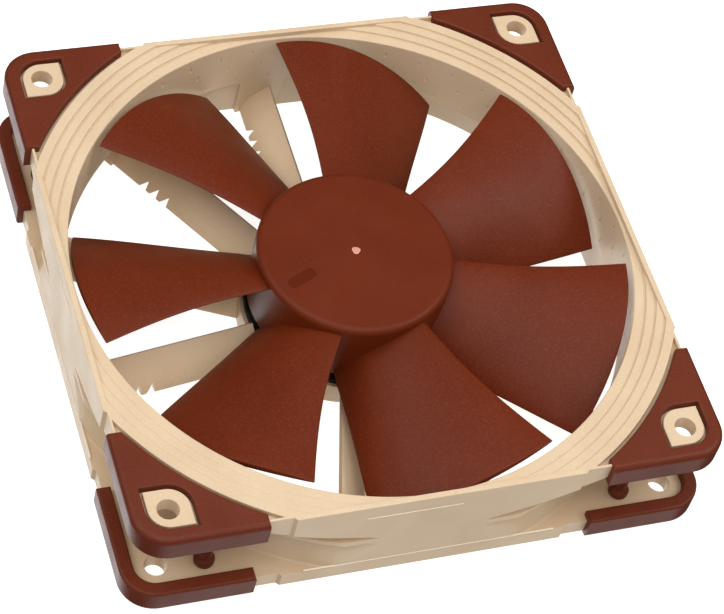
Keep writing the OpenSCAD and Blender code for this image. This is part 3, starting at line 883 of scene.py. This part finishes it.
def laminated(name):
    """Punched sheet steel in a stack, with its layers showing on the sides."""
    mat, nodes, links, shader = new_material(name)
    coord = nodes.new("ShaderNodeTexCoord")
    layers = nodes.new("ShaderNodeTexWave")
    layers.bands_direction = "Z"
    layers.inputs["Scale"].default_value = 320
    layers.inputs["Distortion"].default_value = 0.4
    links.new(coord.outputs["Object"], layers.inputs["Vector"])
    patch = noise(nodes, links, 400, 4, 0.6)
    body = mixed(nodes, links, layers.outputs["Fac"], (0.16, 0.16, 0.17), (0.42, 0.42, 0.43))
    body = mixed(nodes, links, spread(nodes, links, patch, 0, 0.5, 0.45, 0.75), body, (0.12, 0.09, 0.07))
    links.new(body, shader.inputs["Base Color"])
    links.new(spread(nodes, links, patch, 0.35, 0.55), shader.inputs["Roughness"])
    shader.inputs["Metallic"].default_value = 0.9
    links.new(bump(nodes, links, layers.outputs["Fac"], 0.5, 0.00008), shader.inputs["Normal"])
    return mat


def board_material(name):
    """Solder mask over copper tracks, which show as slightly raised, lighter runs."""
    mat, nodes, links, shader = new_material(name)
    coord = nodes.new("ShaderNodeTexCoord")
    tracks = nodes.new("ShaderNodeTexVoronoi")
    tracks.feature = "DISTANCE_TO_EDGE"
    tracks.inputs["Scale"].default_value = 240
    links.new(coord.outputs["Object"], tracks.inputs["Vector"])
    raised = spread(nodes, links, tracks.outputs["Distance"], 1, 0, 0.05, 0.09)
    weave = noise(nodes, links, 1800, 2, 0.5)
    body = mixed(nodes, links, raised, (0.012, 0.014, 0.013), (0.03, 0.036, 0.032))
    body = mixed(nodes, links, spread(nodes, links, weave, 0, 0.3), body, (0.045, 0.045, 0.04))
    links.new(body, shader.inputs["Base Color"])
    links.new(spread(nodes, links, weave, 0.25, 0.45), shader.inputs["Roughness"])
    first = bump(nodes, links, raised, 0.4, 0.00004)
    links.new(bump(nodes, links, weave, 0.15, 0.00002, first), shader.inputs["Normal"])
    return mat


def rubber(name, base, light, dark, rough, sheen, tint):
    """Moulded rubber: matt, paler on its edges as dust and as a painted highlight, with a soft pale sheen at
    a slant.
    """
    mat = plastic(name, base, light, dark, rough, 0.35, sheen, 0.22, 0.25)
    shader = mat.node_tree.nodes["Principled BSDF"]
    shader.inputs["Sheen Tint"].default_value = (*tint, 1.0)
    shader.inputs["Sheen Roughness"].default_value = 0.45
    return mat


def blade_grain_and_sheen(mat, pale):
    """Fine pale specks on the blades, which fade out towards the smoother hub: partly grain, partly a painted
    sheen in the blades' sheen colour.
    """
    full_r = HUB_R + 6
    nodes, links = mat.node_tree.nodes, mat.node_tree.links
    shader = nodes["Principled BSDF"]
    under = shader.inputs["Base Color"].links[0].from_socket
    coord = nodes.new("ShaderNodeTexCoord")
    flat = nodes.new("ShaderNodeVectorMath")
    flat.operation = "MULTIPLY"
    flat.inputs[1].default_value = (1, 1, 0)
    links.new(coord.outputs["Object"], flat.inputs[0])
    out = nodes.new("ShaderNodeVectorMath")
    out.operation = "LENGTH"
    links.new(flat.outputs["Vector"], out.inputs[0])
    # pale specks: grain, with a painted sheen of light off it
    grain_and_sheen = spread(nodes, links, noise(nodes, links, 2100, 3, 0.75), 0, 0.34, 0.5, 0.8)
    both = nodes.new("ShaderNodeMath")
    both.operation = "MULTIPLY"
    links.new(grain_and_sheen, both.inputs[0])
    links.new(spread(nodes, links, out.outputs["Value"], 0, 1, HUB_R * MM, full_r * MM), both.inputs[1])
    links.new(mixed(nodes, links, both.outputs["Value"], under, pale), shader.inputs["Base Color"])


def tone(red, green, blue):
    """A colour given as the eye sees it, 0 to 255, in Blender's linear values."""
    def linear(v):
        v /= 255
        return v / 12.92 if v <= 0.04045 else ((v + 0.055) / 1.055) ** 2.4
    return linear(red), linear(green), linear(blue)


MATERIALS = {
    "frame_plastic": plastic("frame_plastic", tone(214, 189, 156), tone(232, 211, 183), tone(206, 178, 144),
                             (0.42, 0.55), 0.22, edge_wear_and_highlight=0.3),
    # pale beads: a painted glint along the mould lines
    "bead_painted_glint": plastic("bead_painted_glint", tone(240, 224, 200), tone(248, 238, 222), tone(232, 214, 188),
                            (0.35, 0.45), 0.1, edge_wear_and_highlight=0.2),
    "impeller_plastic": plastic("impeller_plastic", tone(103, 38, 11), tone(122, 57, 34), tone(96, 33, 7),
                                (0.38, 0.48), 0.3, specular=0.18, edge_wear_and_highlight=0.5),
    "slot_brown": plastic("slot_brown", tone(92, 31, 5), tone(104, 42, 14), tone(87, 27, 4), (0.5, 0.6),
                          0.1, specular=0.1, edge_wear_and_highlight=0.1),
    "pad_rubber": rubber("pad_rubber", tone(104, 43, 22), tone(134, 74, 52), tone(97, 38, 18),
                         (0.36, 0.48), 0.02, tone(205, 190, 205)),
    "brass": metal("brass", tone(214, 178, 104), tone(150, 112, 58), stretch=(1, 1, 12)),
    "bronze": metal("bronze", tone(176, 122, 76), tone(96, 62, 38), (0.45, 0.65), grain=0.5, scale=1600),
    "seal_rubber": plastic("seal_rubber", tone(38, 36, 36), tone(80, 78, 76), tone(26, 25, 25),
                           (0.55, 0.7), 0.4),
    "ivory_plastic": plastic("ivory_plastic", tone(222, 212, 188), tone(238, 232, 214), tone(204, 192, 164),
                             (0.35, 0.5)),
    "lamination_steel": laminated("lamination_steel"),
    "copper_wire": metal("copper_wire", tone(196, 104, 58), tone(120, 52, 26), (0.22, 0.34),
                         grain=0.2, scale=500),
    "solder": metal("solder", tone(196, 198, 200), tone(130, 132, 134), (0.25, 0.45), grain=0.4, scale=700),
    "board": board_material("board"),
    "black_plastic": plastic("black_plastic", tone(34, 34, 36), tone(78, 78, 80), tone(24, 24, 25),
                             (0.4, 0.55)),
    "ceramic": plastic("ceramic", tone(168, 138, 104), tone(200, 176, 146), tone(140, 110, 80), (0.3, 0.45)),
    "label": plastic("label", tone(206, 206, 204), tone(224, 224, 222), tone(196, 196, 195),
                     (0.32, 0.44), 0.15),
    "yoke_steel": metal("yoke_steel", tone(190, 190, 192), tone(128, 128, 132), (0.24, 0.4), (1, 1, 8)),
    "ferrite": plastic("ferrite", tone(52, 50, 50), tone(96, 94, 92), tone(38, 37, 37), (0.5, 0.66), 0.5),
    "shaft_steel": metal("shaft_steel", tone(206, 206, 208), tone(150, 150, 154), (0.14, 0.26), (1, 1, 10)),
    "gate_scar": plastic("gate_scar", tone(214, 150, 124), tone(240, 196, 176), tone(184, 116, 88),
                         (0.5, 0.7), 0.6),
}
# The pale tone of these specks is the blades' sheen, painted into their colour.
blade_grain_and_sheen(MATERIALS["impeller_plastic"], tone(136, 76, 58))


def dress(obj, slot, body, *nodes, look=None):
    """Gives a piece the material named by its slot or by look, puts it under its body and hides the CAD nodes
    that it replaces.
    """
    obj.data.materials.clear()
    obj.data.materials.append(MATERIALS[look or slot])
    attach(obj, body)
    if nodes:
        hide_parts(*nodes)


# ---------------------------------------------------------------- assembly

# CAD nodes that are shown as they are, with the material of each
CARRIED = {
    "bearing_tube": "brass", "sleeve_bearing": "bronze", "oil_seal": "seal_rubber",
    "thrust_plate": "ivory_plastic", "rear_cap": "brass", "stator_core": "lamination_steel",
    "upper_insulator": "ivory_plastic", "lower_insulator": "ivory_plastic", "winding_pins": "solder",
    "circuit_board": "board",
    "driver_chip": "black_plastic", "hall_sensor": "black_plastic", "capacitor": "ceramic",
    "resistors": "black_plastic", "solder_pads": "solder", "rear_label": "label", "rotor_yoke": "yoke_steel",
    "ring_magnet": "ferrite", "rotor_boss": "brass", "shaft": "shaft_steel", "retaining_clip": "yoke_steel",
}
for node, look in CARRIED.items():
    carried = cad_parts[node]
    carried.data.materials.clear()
    carried.data.materials.append(MATERIALS[look])

dress(build_frame(), "frame_plastic", "frame_body", "frame")
# The beads' pale colour is a painted glint.
dress(build_mould_lines(), "frame_plastic", "frame_body", look="bead_painted_glint")
for pad, node in build_pads():
    dress(pad, "pad_rubber", "frame_body", node)
dress(build_impeller(), "impeller_plastic", "rotor", "impeller")
dress(build_gate_mark(), "impeller_plastic", "rotor", look="gate_scar")
dress(build_slot_floor(), "impeller_plastic", "rotor", look="slot_brown")
for number in range(1, 5):
    dress(build_coil(number), "copper_wire", "frame_body", f"coil_{number}")


# ---------------------------------------------------------------- floor, light and camera

def build_floor():
    """A pale floor that glows a little, so it stays white under the fan. The fan isn't lit by it."""
    half, z = 3.0, -0.0002
    mesh = bpy.data.meshes.new("floor")
    mesh.from_pydata([(-half, -half, z), (half, -half, z), (half, half, z), (-half, half, z)], [],
                     [(0, 1, 2, 3)])
    floor = bpy.data.objects.new("floor", mesh)
    bpy.context.scene.collection.objects.link(floor)
    mat, *_, shader = new_material("floor_paper")
    shader.inputs["Base Color"].default_value = (0.6, 0.6, 0.6, 1)
    shader.inputs["Roughness"].default_value = 0.9
    shader.inputs["Specular IOR Level"].default_value = 0.1
    shader.inputs["Emission Color"].default_value = (1, 1, 1, 1)
    shader.inputs["Emission Strength"].default_value = 0.85
    mesh.materials.append(mat)
    floor.visible_diffuse = False
    floor.visible_shadow = False
    floor.visible_glossy = False


LIGHT_DISTANCE = 0.9


def soft_light(name, azimuth, elevation, size, power):
    """A white soft light that looks at the fan. Azimuth 0 is behind it, 90 to its right."""
    a, e = radians(azimuth), radians(elevation)
    place = Vector((sin(a) * cos(e), cos(a) * cos(e), sin(e))) * LIGHT_DISTANCE
    data = bpy.data.lights.new(name, "AREA")
    data.shape = "RECTANGLE"
    data.size, data.size_y = size
    data.energy = power
    lamp = bpy.data.objects.new(name, data)
    lamp.location = place
    lamp.rotation_euler = (-place).to_track_quat("-Z", "Y").to_euler()
    bpy.context.scene.collection.objects.link(lamp)


# The photo's camera: turn about Z, tilt down and roll in degrees, places in metres, the lens in millimetres
VIEW_TURN = 30.21
VIEW_DOWN = 52.10
VIEW_ROLL = 16.80
VIEW_DISTANCE = 0.5419
VIEW_TARGET = Vector((0.00154, -0.00607, 0.0125))
LENS = 133.0


def build_camera():
    turn, down, roll = radians(VIEW_TURN), radians(VIEW_DOWN), radians(VIEW_ROLL)
    ahead = Vector((sin(turn) * cos(down), cos(turn) * cos(down), -sin(down)))
    level = Vector((cos(turn), -sin(turn), 0))
    above = level.cross(ahead)
    right = level * cos(roll) + above * sin(roll)
    up = right.cross(ahead)
    data = bpy.data.cameras.new("camera")
    data.lens = LENS
    data.sensor_width = 36
    data.clip_start = 0.01
    camera = bpy.data.objects.new("camera", data)
    camera.matrix_world = Matrix((
        (right.x, up.x, -ahead.x, VIEW_TARGET.x - ahead.x * VIEW_DISTANCE),
        (right.y, up.y, -ahead.y, VIEW_TARGET.y - ahead.y * VIEW_DISTANCE),
        (right.z, up.z, -ahead.z, VIEW_TARGET.z - ahead.z * VIEW_DISTANCE),
        (0, 0, 0, 1)))
    bpy.context.scene.collection.objects.link(camera)
    bpy.context.scene.camera = camera


build_floor()
build_camera()
soft_light("left", -75, 48, (0.6, 0.4), 2.05)
soft_light("right", 105, 48, (0.6, 0.4), 2.4)
soft_light("top", 0, 88, (0.7, 0.7), 2.3)
soft_light("front", 200, 58, (0.6, 0.4), 1.9)
soft_light("under_back", -30, -52, (0.7, 0.7), 3.8)
soft_light("under_front", 160, -52, (0.7, 0.7), 1.8)

world = bpy.data.worlds.new("world")
world.use_nodes = True
world.node_tree.nodes["Background"].inputs["Color"].default_value = (1, 1, 1, 1)
world.node_tree.nodes["Background"].inputs["Strength"].default_value = 0.53
world.cycles_visibility.glossy = False
bpy.context.scene.world = world
bpy.context.scene.view_settings.view_transform = "Standard"
